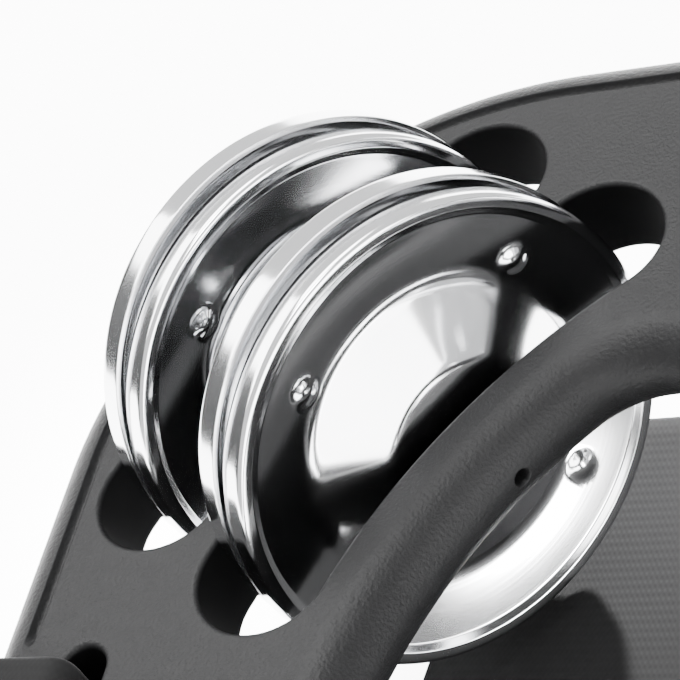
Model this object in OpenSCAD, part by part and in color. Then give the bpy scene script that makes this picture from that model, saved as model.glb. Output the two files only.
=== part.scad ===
// Foot tambourine: a moulded ring that is strapped on the foot, with steel
// jingle discs on two pins. +Z up, millimetres, +Y towards the toe.
// The origin is where the two pin axes meet, at mid-thickness of the ring.

/* [Jingle discs] */
// Outside diameter of a jingle disc
jingle_diameter = 50; // [46:0.5:52]
// Depth of a disc's turned rim
jingle_rim_depth = 3.3; // [2.6:0.1:3.5]
// Thickness of the disc's sheet steel
jingle_sheet = 0.6; // [0.4:0.1:0.8]
// Outside diameter of the raised dome at a disc's centre
dome_diameter = 32; // [28:0.5:33]
// Height of the dome above the disc's face
dome_height = 1.7; // [1.4:0.1:1.8]
// How far the face sinks from the rim to the foot of the dome
jingle_dish = 0.9; // [0.6:0.1:1.2]
// Gap between the two rims of a facing pair at rest
pair_gap = 0.6; // [0.4:0.1:0.8]
// Diameter of the hole at a disc's centre
jingle_hole = 4; // [3.4:0.1:4.2]
// Number of pressed bumps around a disc's face
bump_count = 4; // [3:1:6]
// Diameter of a pressed bump
bump_diameter = 3.6; // [2.5:0.1:4.5]
// Angle of the first bump round the disc
bump_turn = 31; // [0:1:90]
// Flat left between the dome and a bump
bump_gap = 0.5; // [0.3:0.1:1]

/* [Stations] */
// Angle of a station's pin from the toe line
station_angle = 55; // [55:0.5:58]
// Distance from the centre to the middle of the inner slot
inner_slot_reach = 31; // [31:0.2:32]
// Distance between the middles of the two slots
slot_pitch = 17.8; // [17.6:0.1:18.5]
// Width of a jingle slot
slot_width = 14.6; // [14.6:0.1:15]
// Length of a jingle slot from end to end
slot_length = 62; // [61:0.2:63]
// Radius of the inner slot's middle line
slot_bend = 80; // [80:1:95]
// Offset of a jingle pair from the slot's middle towards the centre
pair_offset = 0.8; // [0.7:0.05:0.9]
// Lean of the discs on their loose holes, their tops away from the centre
pair_lean = 8; // [4:0.5:8.5]
// Diameter of a station pin
pin_diameter = 2.4; // [2:0.1:3]
// Length of a pin held in the ring beyond the outer slot
pin_land = 4; // [3:0.1:5]
// Diametral interference-free fit of a pin in the ring
pin_seat_clearance = 0.04; // [0.02:0.01:0.1]

/* [Ring] */
// Thickness of the ring, also the diameter of its round edges
ring_thickness = 10; // [9:0.2:10.4]
// Radius of the ring's outside at the two front corners
ring_radius = 51; // [50:0.5:55]
// Distance of a front corner's centre from the middle line
corner_x = 15; // [13:0.5:17]
// Distance of a front corner's centre ahead of the pins' crossing
corner_y = 11; // [9:0.5:13]
// Distance from the pins' crossing back to the heel round's centre
side_length = 40; // [38:0.5:50]
// Flat strip between the inner slot and the round inner edge
inner_strip = 2.6; // [2:0.2:4]
// Radius of the opening at the toe
toe_corner = 10; // [8:0.5:12]
// Radius of the opening at the heel
heel_corner = 20; // [16:0.5:22]
// Distance of the decorative groove from the ring's outside
groove_inset = 5.2; // [5:0.1:6]
// Half width of the decorative groove
groove_radius = 0.7; // [0.4:0.1:0.9]

/* [Strap] */
// Width of the strap's ends
strap_width = 30; // [24:0.5:30]
// Thickness of the strap
strap_thickness = 1.6; // [1.2:0.1:2]
// Width of a strap slot
strap_slot_width = 5; // [4.4:0.1:5.4]
// Length of a strap slot
strap_slot_length = 34; // [33:0.5:36]
// Distance from the centre back to the front end of the strap slots
strap_slot_start = 12; // [12:0.5:16]
// Width of the rail outside a strap slot
strap_rail = 10; // [9:0.1:11]
// Clearance kept between the strap and hard parts
strap_clearance = 0.4; // [0.3:0.05:0.6]
// Length of the sewn overlap at each end
sewn_overlap = 14; // [12:0.5:16]
// Radius of the strap's turns round the rail
strap_turn = 4; // [3:0.1:5]
// How far the strap leans inward as it hangs
strap_lean = 5; // [3:0.5:8]
// Front edge of the strap's middle, ahead of the centre
strap_front = 37; // [30:0.5:40]
// Width of the strap's middle at its front edge
strap_front_width = 42; // [36:0.5:46]
// Height of the strap's middle under the jingle discs
strap_disc_gap = 1.7; // [1.5:0.1:4]

/* [Hidden] */
$fn = 96;
half = ring_thickness / 2;
disc_radius = jingle_diameter / 2;
bend_centre = inner_slot_reach - slot_bend;
bar_radius = slot_bend - slot_width / 2 - inner_strip - half;
station_x = sin(station_angle);
station_y = cos(station_angle);
arc_x = -bend_centre * station_x;
arc_y = bend_centre * station_y;
toe_y = arc_y + sqrt(pow(bar_radius - toe_corner, 2) - arc_x * arc_x);
heel_y = arc_y - sqrt(pow(bar_radius - heel_corner, 2) - arc_x * arc_x);
toe_turn = atan2(toe_y - arc_y, arc_x);
heel_turn = atan2(arc_y - heel_y, arc_x);
outer_slot_reach = inner_slot_reach + slot_pitch;
pin_inner = inner_slot_reach - slot_width / 2 - inner_strip - half + 0.6;
pin_outer = outer_slot_reach + slot_width / 2 + pin_land;
pair_half = pair_gap / 2 + jingle_rim_depth;
rail_outside = ring_radius + corner_x;
front_edge = ring_radius + corner_y;
slot_outside = rail_outside - strap_rail;
slot_inside = slot_outside - strap_slot_width;
slot_middle_y = -strap_slot_start - strap_slot_length / 2;
loop_gap = strap_clearance;
upper_ply = -half - loop_gap - strap_thickness;
lower_ply = upper_ply - strap_thickness;
over = 1;
hollow = toe_corner * 0.8;
arc_past = 1;
middle_lap = 2;
sole_top = -disc_radius - strap_disc_gap;
sole_low = sole_top - strap_thickness;

// Places its children in a station: local +X runs outward along the pin
module at_station(side) {
  rotate([0, 0, 90 - side * station_angle]) children();
}

// Solid sector of a turned profile, centred on an angle
module turned(from, turn) {
  rotate([0, 0, from]) rotate_extrude(angle = turn) children();
}

// One jingle slot, cut right through, bent about the station's own centre
module jingle_slot(reach) {
  bend = reach - bend_centre;
  turn = asin((slot_length - slot_width) / 2 / bend);
  translate([bend_centre, 0, 0]) {
    turned(-turn, 2 * turn)
      translate([bend - slot_width / 2, -half - over]) square([slot_width, ring_thickness + 2 * over]);
    for (end = [-turn, turn])
      rotate([0, 0, end]) translate([bend, 0, -half - over])
        cylinder(d = slot_width, h = ring_thickness + 2 * over);
  }
}

// Half-round edge as a list of points, from the underside up to the top
function edge_points(edge, way) =
  [for (turn = [-90 : 15 : 90]) [edge + way * half * cos(turn), half * sin(turn)]];

// Section of the ring's body from a radius out to the round outside edge
module body_section(from, radius) {
  polygon(concat([[from, -half]], edge_points(radius - half, 1), [[from, half]]));
}

// The ring's body before its openings: front corners, front, sides and heel round
module body() {
  side_edge = edge_points(rail_outside - half, 1);
  translate([corner_x, corner_y, 0]) turned(0, 90) body_section(0, ring_radius);
  translate([-corner_x, corner_y, 0]) turned(90, 90) body_section(0, ring_radius);
  translate([-corner_x, 0, 0]) rotate([90, 0, 90]) linear_extrude(height = 2 * corner_x)
    body_section(corner_y, front_edge);
  translate([0, corner_y, 0]) rotate([90, 0, 0]) linear_extrude(height = side_length + corner_y)
    polygon(concat(side_edge, [for (p = side_edge) [-p[0], -p[1]]]));
  translate([0, -side_length, 0]) turned(180, 180) body_section(hollow, rail_outside);
}

// Section of a cut that leaves a round edge at a radius
module cut_section(from, radius) {
  deep = half + over;
  polygon(concat([[from, -deep], [radius + half, -deep]],
    edge_points(radius + half, -1), [[radius + half, deep], [from, deep]]));
}

// One half of the opening's cut. The side arc runs past its corner rounds by arc_past,
// and each corner round starts half of that later, so no two surfaces only touch.
module half_opening() {
  past = asin(arc_past / bar_radius);
  toe_late = asin(arc_past / 2 / toe_corner);
  heel_late = asin(arc_past / 2 / heel_corner);
  translate([arc_x, arc_y, 0])
    turned(180 - toe_turn - past, toe_turn + heel_turn + 2 * past) cut_section(arc_x - middle_lap, bar_radius);
  translate([0, toe_y, 0])
    turned(60, 120 - toe_turn - toe_late) cut_section(toe_corner / 4, toe_corner);
  translate([0, heel_y, 0])
    turned(180 + heel_turn + heel_late, 120 - heel_turn - heel_late) cut_section(heel_corner / 4, heel_corner);
}

// The opening, cut with round edges as two mirrored halves
module opening() {
  half_opening();
  mirror([1, 0, 0]) half_opening();
  for (end = [[toe_y, toe_corner / 2], [heel_y, heel_corner / 2]])
    translate([0, end[0], -half - over]) cylinder(r = end[1], h = ring_thickness + 2 * over);
}

// Section of the shallow groove at a distance from its turning axis
module groove_section(at) {
  r = groove_radius;
  translate([at, half])
    polygon([[-r, over], [-r, 0], [-0.6 * r, -0.8 * r], [0.6 * r, -0.8 * r], [r, 0], [r, over]]);
}

// Shallow groove that follows the outside, stopping at the strap slots
module groove() {
  run = corner_y + strap_slot_start + 2;
  translate([corner_x, corner_y, 0]) turned(0, 90) groove_section(ring_radius - groove_inset);
  translate([-corner_x, corner_y, 0]) turned(90, 90) groove_section(ring_radius - groove_inset);
  translate([-corner_x, 0, 0]) rotate([90, 0, 90]) linear_extrude(height = 2 * corner_x)
    groove_section(front_edge - groove_inset);
  for (side = [0, 1])
    mirror([side, 0, 0]) translate([0, corner_y, 0]) rotate([90, 0, 0])
      linear_extrude(height = run) groove_section(rail_outside - groove_inset);
}

// One strap slot with round ends
module strap_slot(side) {
  middle = side * (slot_outside + slot_inside) / 2;
  run = strap_slot_length / 2 - strap_slot_width / 2;
  for (end = [-1, 1])
    translate([middle, slot_middle_y + end * run, -half - over])
      cylinder(d = strap_slot_width, h = ring_thickness + 2 * over);
  translate([middle - strap_slot_width / 2, slot_middle_y - run, -half - over])
    cube([strap_slot_width, 2 * run, ring_thickness + 2 * over]);
}

module frame() {
  color([0.09, 0.09, 0.1]) difference() {
    body();
    opening();
    for (side = [-1, 1]) {
      at_station(side) {
        jingle_slot(inner_slot_reach);
        jingle_slot(outer_slot_reach);
        rotate([0, 90, 0])
          cylinder(d = pin_diameter + pin_seat_clearance, h = pin_outer);
      }
      strap_slot(side);
    }
    groove();
  }
}

// A station pin, plain and round, its inner end just inside the ring's edge
module pin(side) {
  color([0.7, 0.7, 0.72]) at_station(side)
    translate([pin_inner, 0, 0]) rotate([0, 90, 0])
      cylinder(d = pin_diameter, h = pin_outer - pin_inner - 0.2);
}

module pin_left() {
  pin(-1);
}

module pin_right() {
  pin(1);
}

// Turned section of a disc: radius across, height along the pin, face upward
module disc_section() {
  dome = dome_diameter / 2;
  face = jingle_rim_depth;
  hole = jingle_hole / 2;
  crown = dome * 0.47;
  foot = dome - 3;
  low = face - 0.5 - jingle_dish;
  polygon([
    [hole, face + dome_height - jingle_sheet],
    [hole, face + dome_height],
    [crown, face + dome_height],
    [foot, face + dome_height * 0.25],
    [dome, low],
    [disc_radius - 2.4, face - 0.5],
    [disc_radius - 1.6, face],
    [disc_radius - 0.5, face],
    [disc_radius, face - 0.5],
    [disc_radius, 0],
    [disc_radius - jingle_sheet, 0],
    [disc_radius - jingle_sheet, face - 0.5 - jingle_sheet],
    [disc_radius - 2, face - 0.5 - jingle_sheet],
    [dome - 0.2, low - jingle_sheet],
    [foot - 0.2, face + dome_height * 0.25 - jingle_sheet],
    [crown - 0.2, face + dome_height - jingle_sheet]]);
}

// Pressed bumps on the face, round and low, standing out of the annulus
module bumps() {
  reach = (dome_diameter + bump_diameter) / 2 + bump_gap;
  edge = disc_radius - 2.4;
  sink = 0.5 + jingle_dish * (edge - reach) / (edge - dome_diameter / 2);
  for (k = [0 : bump_count - 1])
    rotate([0, 0, bump_turn + k * 360 / bump_count])
      translate([reach, 0, jingle_rim_depth - sink - jingle_sheet / 2])
        cylinder(d1 = bump_diameter, d2 = bump_diameter - 1, h = 0.9, $fn = 24);
}

// One disc on its pin, leaning about its hole; the face looks inward for way -1, outward for way 1
module jingle(side, reach, way) {
  hole_plane = jingle_rim_depth + dome_height - jingle_sheet / 2;
  color([0.8, 0.81, 0.83]) at_station(side)
    translate([reach - pair_offset + way * (pair_gap / 2 + hole_plane), 0, 0])
      rotate([0, pair_lean + way * 90, 0]) translate([0, 0, -hole_plane]) {
        rotate_extrude() disc_section();
        bumps();
      }
}

module jingle_left_inner_a() {
  jingle(-1, inner_slot_reach, -1);
}

module jingle_left_inner_b() {
  jingle(-1, inner_slot_reach, 1);
}

module jingle_left_outer_a() {
  jingle(-1, outer_slot_reach, -1);
}

module jingle_left_outer_b() {
  jingle(-1, outer_slot_reach, 1);
}

module jingle_right_inner_a() {
  jingle(1, inner_slot_reach, -1);
}

module jingle_right_inner_b() {
  jingle(1, inner_slot_reach, 1);
}

module jingle_right_outer_a() {
  jingle(1, outer_slot_reach, -1);
}

module jingle_right_outer_b() {
  jingle(1, outer_slot_reach, 1);
}

// One end of the strap: sewn ply, up through its slot, over the rail, under and down
module strap_loop(side) {
  wall = strap_thickness;
  inner_x = slot_outside - loop_gap - wall;
  outer_x = rail_outside + loop_gap + wall;
  top = half + loop_gap + wall;
  drop_x = inner_x - sewn_overlap;
  sole_x = drop_x - strap_lean;
  slant = wall * 1.05;
  inside = strap_turn - wall * 0.4;
  ends_y = slot_middle_y - strap_width / 2;
  translate([0, ends_y + strap_width, 0]) rotate([90, 0, 0]) linear_extrude(height = strap_width)
    difference() {
      polygon([
        [side * inner_x, top - wall],
        [side * (inner_x + wall), top],
        [side * (outer_x - strap_turn), top],
        [side * outer_x, top - strap_turn],
        [side * outer_x, lower_ply + strap_turn],
        [side * (outer_x - strap_turn), lower_ply],
        [side * (drop_x + slant), lower_ply],
        [side * (sole_x + slant), sole_low],
        [side * (sole_x - wall), sole_low],
        [side * (sole_x - wall), sole_top],
        [side * sole_x, sole_top],
        [side * drop_x, upper_ply + wall],
        [side * inner_x, upper_ply + wall]]);
      polygon([
        [side * (inner_x + wall), top - wall],
        [side * (outer_x - wall - inside), top - wall],
        [side * (outer_x - wall), top - wall - inside],
        [side * (outer_x - wall), lower_ply + wall + inside],
        [side * (outer_x - wall - inside), lower_ply + wall],
        [side * (inner_x + wall), lower_ply + wall]]);
    }
}

// The strap's middle under the discs, a flat band that widens towards the toe
module strap_middle() {
  reach = slot_outside - loop_gap - strap_thickness - sewn_overlap - strap_lean;
  back = slot_middle_y - strap_width / 2;
  front = slot_middle_y + strap_width / 2;
  tip = strap_front_width / 2;
  shoulder = (front + strap_front) / 2;
  translate([0, 0, sole_low]) linear_extrude(height = strap_thickness)
    polygon([
      [-reach, back], [reach, back], [reach, front],
      [reach - 1, shoulder], [tip + 5, strap_front - 4], [tip, strap_front],
      [-tip, strap_front], [-tip - 5, strap_front - 4], [1 - reach, shoulder],
      [-reach, front]]);
}

module strap() {
  color([0.16, 0.16, 0.17]) union() {
    strap_middle();
    strap_loop(-1);
    strap_loop(1);
  }
}

frame();
pin_left();
pin_right();
jingle_left_inner_a();
jingle_left_inner_b();
jingle_left_outer_a();
jingle_left_outer_b();
jingle_right_inner_a();
jingle_right_inner_b();
jingle_right_outer_a();
jingle_right_outer_b();
strap();
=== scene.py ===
"""Foot tambourine for its picture: a strapped-on ring with steel jingle discs.

Lengths in the classes are millimetres in the part's own frame: the origin is where
the two pin axes meet at mid-thickness, +Y points to the toe and +Z is up.
"""

from __future__ import annotations

import logging
import math
from dataclasses import dataclass, field
from enum import Enum
from typing import Sequence

import bpy
import numpy as np
from mathutils import Matrix, Vector
from mathutils.geometry import delaunay_2d_cdt

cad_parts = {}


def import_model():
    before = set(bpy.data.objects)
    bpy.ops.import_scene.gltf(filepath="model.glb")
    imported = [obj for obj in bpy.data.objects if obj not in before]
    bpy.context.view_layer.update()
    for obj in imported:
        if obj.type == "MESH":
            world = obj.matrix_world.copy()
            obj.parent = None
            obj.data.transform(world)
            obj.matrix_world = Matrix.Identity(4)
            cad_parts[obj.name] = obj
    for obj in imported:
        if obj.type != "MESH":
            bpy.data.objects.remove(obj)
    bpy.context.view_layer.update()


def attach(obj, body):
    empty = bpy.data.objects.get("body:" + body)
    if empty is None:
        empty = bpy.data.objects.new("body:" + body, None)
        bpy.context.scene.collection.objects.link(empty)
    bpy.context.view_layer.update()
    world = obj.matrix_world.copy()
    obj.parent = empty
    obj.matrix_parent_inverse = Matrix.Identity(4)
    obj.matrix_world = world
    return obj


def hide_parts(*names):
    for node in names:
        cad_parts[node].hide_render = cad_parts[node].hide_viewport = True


MM = 0.001
LOG = logging.getLogger("tambourine")


class Side(Enum):
    """Which half of the ring a piece belongs to."""

    LEFT = -1
    RIGHT = 1


class Way(Enum):
    """Which way a disc's face looks along its pin."""

    INWARD = -1
    OUTWARD = 1


# Shader building


class Value:
    """A shader socket that takes part in sums."""

    def __init__(self, shader: "Shader", socket: bpy.types.NodeSocket | None) -> None:
        """Wraps a socket.

        Args:
            shader: the shader that owns the socket.
            socket: an output socket of one of its nodes, or none for the last node.
        """
        self.shader = shader
        self.socket = socket

    def _math(self, operation: str, first: object, second: object) -> "Value":
        """Adds one maths node.

        Args:
            operation: the node's operation.
            first: first operand, a Value or a number.
            second: second operand, a Value or a number.

        Returns:
            The result as a Value.
        """
        return self.shader.node("ShaderNodeMath", {"operation": operation}, {0: first, 1: second})

    def __add__(self, other: object) -> "Value":
        """Adds on the right."""
        return self._math("ADD", self, other)

    def __radd__(self, other: object) -> "Value":
        """Adds on the left."""
        return self._math("ADD", other, self)

    def __mul__(self, other: object) -> "Value":
        """Multiplies on the right."""
        return self._math("MULTIPLY", self, other)

    def __rmul__(self, other: object) -> "Value":
        """Multiplies on the left."""
        return self._math("MULTIPLY", other, self)


class Shader:
    """A material under construction."""

    def __init__(self, name: str) -> None:
        """Starts an empty material.

        Args:
            name: the material's name.
        """
        self.material = bpy.data.materials.new(name)
        self.material.use_nodes = True
        self.tree = self.material.node_tree
        self.tree.nodes.clear()

    def node(
        self,
        kind: str,
        settings: dict[str, object] | None = None,
        inputs: dict[str | int, object] | None = None,
        output: str | int = 0,
    ) -> Value:
        """Adds a node.

        Args:
            kind: the node's type name.
            settings: properties to set on the node.
            inputs: values or Values for its inputs, by name or number.
            output: which output the caller wants.

        Returns:
            The chosen output as a Value.
        """
        made = self.tree.nodes.new(kind)
        for key, setting in (settings or {}).items():
            setattr(made, key, setting)
        for key, given in (inputs or {}).items():
            if isinstance(given, Value):
                self.tree.links.new(given.socket, made.inputs[key])
            else:
                made.inputs[key].default_value = given
        return Value(self, made.outputs[output] if len(made.outputs) else None)

    def place(self) -> Value:
        """Gives the object coordinates, in metres.

        Returns:
            The coordinate vector.
        """
        return self.node("ShaderNodeTexCoord", output="Object")

    def noise(self, at: Value, scale: float, detail: float = 3.0) -> Value:
        """Adds a noise pattern.

        Args:
            at: where to look it up.
            scale: grains per metre.
            detail: octaves of finer grain.

        Returns:
            A factor around one half.
        """
        inputs = {"Vector": at, "Scale": scale, "Detail": detail}
        return self.node("ShaderNodeTexNoise", None, inputs, "Fac")

    def attribute(self, name: str) -> Value:
        """Reads a mesh attribute.

        Args:
            name: the attribute's name.

        Returns:
            Its value as a factor.
        """
        return self.node("ShaderNodeAttribute", {"attribute_name": name}, output="Fac")

    def ramp(self, factor: Value, low: Sequence[float], high: Sequence[float]) -> Value:
        """Mixes two colours by a factor.

        Args:
            factor: zero for the first, one for the second.
            low: first colour, three numbers.
            high: second colour, three numbers.

        Returns:
            The mixed colour.
        """
        settings = {"data_type": "RGBA"}
        inputs = {0: factor, 6: (*low, 1.0), 7: (*high, 1.0)}
        return self.node("ShaderNodeMix", settings, inputs, 2)

    def sine(self, along: Value, pitch: float) -> Value:
        """Adds a sine wave along a running length.

        Args:
            along: the running length in metres.
            pitch: length of one wave in metres.

        Returns:
            A number from minus one to one.
        """
        return self.node("ShaderNodeMath", {"operation": "SINE"}, {0: along * (2.0 * math.pi / pitch)})

    def bump(self, height: Value, depth: float) -> Value:
        """Turns a height into a bent normal.

        Args:
            height: the pattern, zero to one.
            depth: how deep one is, in metres.

        Returns:
            The normal.
        """
        return self.node("ShaderNodeBump", None, {"Distance": depth, "Height": height}, "Normal")

    def finish(self, inputs: dict[str, object]) -> bpy.types.Material:
        """Ends the material with a surface.

        Args:
            inputs: values for the surface, by socket name.

        Returns:
            The material.
        """
        surface = self.node("ShaderNodeBsdfPrincipled", None, inputs)
        self.node("ShaderNodeOutputMaterial", None, {"Surface": surface})
        return self.material

    def blend(
        self, factor: Value, first: dict[str, object], second: dict[str, object]
    ) -> bpy.types.Material:
        """Ends the material with two surfaces mixed by a factor.

        Args:
            factor: zero for the first, one for the second.
            first: values for the first surface, by socket name.
            second: values for the second surface.

        Returns:
            The material.
        """
        one, two = (self.node("ShaderNodeBsdfPrincipled", None, inputs) for inputs in (first, second))
        mixed = self.node("ShaderNodeMixShader", None, {0: factor, 1: one, 2: two})
        self.node("ShaderNodeOutputMaterial", None, {"Surface": mixed})
        return self.material


@dataclass(frozen=True)
class PlasticFinish:
    """Satin moulded plastic with a fine grain, and painted shade inside its slots and pin holes: a dull,
    near-black surface.
    """

    dark: tuple[float, float, float] = (0.004, 0.004, 0.0042)
    pale: tuple[float, float, float] = (0.010, 0.010, 0.0104)
    painted_shade: tuple[float, float, float] = (0.0015, 0.0015, 0.0016)
    roughness: float = 0.46
    gloss: float = 0.17
    painted_shade_roughness: float = 0.9
    painted_shade_gloss: float = 0.02
    grain_scale: float = 2600.0
    grain_depth: float = 0.0001
    cloud_scale: float = 60.0
    cloud_share: float = 0.6
    cloud_swing: float = 0.08
    wear_scale: float = 420.0
    wear_swing: float = 0.14

    def material(self) -> bpy.types.Material:
        """Builds the finish: clouds and wear shift tone and roughness, grain bends the normal, and a dull
        near-black surface is mixed in as painted shade on the slot walls and in the pin holes.

        Returns:
            The material.
        """
        shader = Shader("ring_plastic")
        place = shader.place()
        grain = shader.noise(place, self.grain_scale, detail=4.0)
        cloud = shader.noise(place, self.cloud_scale)
        wear = shader.noise(place, self.wear_scale, detail=2.0)
        tone = cloud * self.cloud_share + wear * (1.0 - self.cloud_share)
        even = self.roughness - (self.cloud_swing + self.wear_swing) / 2
        body = {
            "Base Color": shader.ramp(tone, self.dark, self.pale),
            "Roughness": wear * self.wear_swing + cloud * self.cloud_swing + even,
            "Specular IOR Level": self.gloss,
            "Normal": shader.bump(grain, self.grain_depth),
        }
        # painted shade: a dull near-black surface for the slot walls and pin holes, standing in for the shade
        # inside them
        painted_shade = {
            "Base Color": (*self.painted_shade, 1.0),
            "Roughness": self.painted_shade_roughness,
            "Specular IOR Level": self.painted_shade_gloss,
        }
        return shader.blend(shader.attribute("painted_shade_mask"), body, painted_shade)


@dataclass(frozen=True)
class SteelFinish:
    """Bright plated steel, with faint turning lines and handling haze."""

    name: str = "jingle_steel"
    tint: tuple[float, float, float] = (0.86, 0.865, 0.875)
    shade: tuple[float, float, float] = (0.74, 0.745, 0.76)
    roughness: float = 0.1
    line_scale: float = 2.2
    line_depth: float = 0.0000035
    line_swing: float = 0.03
    haze_scale: float = 90.0
    haze_share: float = 0.7
    haze_swing: float = 0.06
    spot_scale: float = 700.0

    def material(self) -> bpy.types.Material:
        """Builds the finish: haze and spots shift the tone, haze and lines the roughness.

        Returns:
            The material.
        """
        shader = Shader(self.name)
        place = shader.place()
        lathe = shader.node("ShaderNodeCombineXYZ", None, {0: shader.attribute("lathe")})
        lines = shader.noise(lathe, self.line_scale, detail=4.0)
        haze = shader.noise(place, self.haze_scale, detail=4.0)
        spots = shader.noise(place, self.spot_scale, detail=2.0)
        tone = haze * self.haze_share + spots * (1.0 - self.haze_share)
        even = self.roughness - self.haze_swing / 2
        return shader.finish(
            {
                "Base Color": shader.ramp(tone, self.shade, self.tint),
                "Metallic": 1.0,
                "Roughness": haze * self.haze_swing + lines * self.line_swing + even,
                "Normal": shader.bump(lines, self.line_depth),
            }
        )


@dataclass(frozen=True)
class WebbingFinish:
    """Dark woven elastic: ribs along the strap and a fine cross weave."""

    dark: tuple[float, float, float] = (0.0030, 0.0030, 0.0031)
    pale: tuple[float, float, float] = (0.0058, 0.0058, 0.0060)
    rib_pitch: float = 0.0011
    rib_share: float = 0.2
    weave_pitch: float = 0.0006
    weave_share: float = 0.25
    fuzz_scale: float = 2600.0
    fuzz_share: float = 0.3
    fuzz_swing: float = 0.2
    depth: float = 0.00002
    roughness: float = 0.62
    gloss: float = 0.12
    sheen: float = 0.06
    sheen_roughness: float = 0.5

    def material(self) -> bpy.types.Material:
        """Builds the finish: two sine waves cross in the cloth, with fuzz over them.

        Returns:
            The material.
        """
        shader = Shader("strap_elastic")
        ribs = shader.sine(shader.attribute("across"), self.rib_pitch)
        weave = shader.sine(shader.attribute("along"), self.weave_pitch)
        fuzz = shader.noise(shader.place(), self.fuzz_scale)
        cloth = ribs * weave * self.weave_share + ribs * self.rib_share + 0.5
        tone = cloth * (1.0 - self.fuzz_share) + fuzz * self.fuzz_share
        return shader.finish(
            {
                "Base Color": shader.ramp(tone, self.dark, self.pale),
                "Roughness": fuzz * self.fuzz_swing + self.roughness,
                "Specular IOR Level": self.gloss,
                "Sheen Weight": self.sheen,
                "Sheen Roughness": self.sheen_roughness,
                "Normal": shader.bump(cloth + fuzz * self.fuzz_share, self.depth),
            }
        )


@dataclass(frozen=True)
class ThreadFinish:
    """Twisted black sewing thread."""

    dark: tuple[float, float, float] = (0.016, 0.016, 0.017)
    pale: tuple[float, float, float] = (0.055, 0.055, 0.058)
    twist_scale: float = 2400.0
    twist_bend: float = 1.5
    twist_depth: float = 0.00008
    twist_swing: float = 0.2
    roughness: float = 0.5

    def material(self) -> bpy.types.Material:
        """Builds the finish: slanting bands stand for the twist.

        Returns:
            The material.
        """
        shader = Shader("strap_thread")
        inputs = {"Vector": shader.place(), "Scale": self.twist_scale, "Distortion": self.twist_bend}
        twist = shader.node("ShaderNodeTexWave", {"bands_direction": "DIAGONAL"}, inputs, "Fac")
        return shader.finish(
            {
                "Base Color": shader.ramp(twist, self.dark, self.pale),
                "Roughness": twist * self.twist_swing + self.roughness,
                "Normal": shader.bump(twist, self.twist_depth),
            }
        )


@dataclass(frozen=True)
class FloorFinish:
    """Matt white studio sweep, lit from within like a light table."""

    shade: tuple[float, float, float] = (0.9, 0.9, 0.9)
    tint: tuple[float, float, float] = (0.93, 0.93, 0.93)
    cloud_scale: float = 3.0
    roughness: float = 0.9
    glow: float = 9.0

    def material(self) -> bpy.types.Material:
        """Builds the finish.

        Returns:
            The material.
        """
        shader = Shader("studio_floor")
        cloud = shader.noise(shader.place(), self.cloud_scale, detail=2.0)
        white = shader.ramp(cloud, self.shade, self.tint)
        return shader.finish(
            {
                "Base Color": white,
                "Roughness": self.roughness,
                "Emission Color": white,
                "Emission Strength": self.glow,
            }
        )


@dataclass(frozen=True)
class CardFinish:
    """Plain dark card that the steel reflects."""

    tone: float = 0.004
    roughness: float = 0.9

    def material(self) -> bpy.types.Material:
        """Builds the finish.

        Returns:
            The material.
        """
        tone = (self.tone, self.tone, self.tone, 1.0)
        return Shader("studio_card").finish({"Base Color": tone, "Roughness": self.roughness})


# Meshes


@dataclass
class Surface:
    """Points with faces of four and three corners, gathered before they become a mesh."""

    points: np.ndarray
    quads: np.ndarray = field(default_factory=lambda: np.zeros((0, 4), dtype=np.int64))
    triangles: np.ndarray = field(default_factory=lambda: np.zeros((0, 3), dtype=np.int64))
    values: dict[str, np.ndarray] = field(default_factory=dict)

    def mesh(self, name: str) -> bpy.types.Object:
        """Makes a smooth-shaded object at the origin.

        Args:
            name: the piece's name.

        Returns:
            The object, linked to the scene.
        """
        mesh = bpy.data.meshes.new(name)
        corners = np.concatenate([self.quads.reshape(-1), self.triangles.reshape(-1)]).astype(np.int32)
        sizes = np.concatenate([np.full(len(self.quads), 4), np.full(len(self.triangles), 3)])
        starts = np.concatenate([[0], np.cumsum(sizes)[:-1]]).astype(np.int32)
        mesh.vertices.add(len(self.points))
        mesh.vertices.foreach_set("co", (self.points * MM).astype(np.float32).reshape(-1))
        mesh.loops.add(len(corners))
        mesh.loops.foreach_set("vertex_index", corners)
        mesh.polygons.add(len(sizes))
        mesh.polygons.foreach_set("loop_start", starts)
        mesh.polygons.foreach_set("use_smooth", np.ones(len(sizes), dtype=bool))
        mesh.update(calc_edges=True)
        mesh.validate()
        for key, numbers in self.values.items():
            layer = mesh.attributes.new(key, "FLOAT", "POINT")
            layer.data.foreach_set("value", numbers.astype(np.float32).reshape(-1))
        made = bpy.data.objects.new(name, mesh)
        bpy.context.scene.collection.objects.link(made)
        return made


def grid_quads(rows: int, columns: int, wrap_rows: bool, wrap_columns: bool, flip: bool) -> np.ndarray:
    """Lists the four-cornered faces of a grid of points.

    Args:
        rows: points along the first parameter.
        columns: points along the second parameter.
        wrap_rows: whether the last row joins the first.
        wrap_columns: whether the last column joins the first.
        flip: whether to turn the faces over.

    Returns:
        Corner indices, one face a line.
    """
    down = np.arange(rows if wrap_rows else rows - 1)
    over = np.arange(columns if wrap_columns else columns - 1)
    row, column = np.meshgrid(down, over, indexing="ij")
    next_row, next_column = (row + 1) % rows, (column + 1) % columns
    corners = [
        row * columns + column,
        next_row * columns + column,
        next_row * columns + next_column,
        row * columns + next_column,
    ]
    quads = np.stack(corners, axis=-1).reshape(-1, 4)
    return quads[:, ::-1] if flip else quads


def smooth_step(value: np.ndarray, low: float, high: float) -> np.ndarray:
    """Rises softly from zero at low to one at high.

    Args:
        value: where to evaluate.
        low: start of the rise.
        high: end of the rise.

    Returns:
        The eased share.
    """
    share = np.clip((value - low) / (high - low), 0.0, 1.0)
    return share * share * (3.0 - 2.0 * share)


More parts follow.
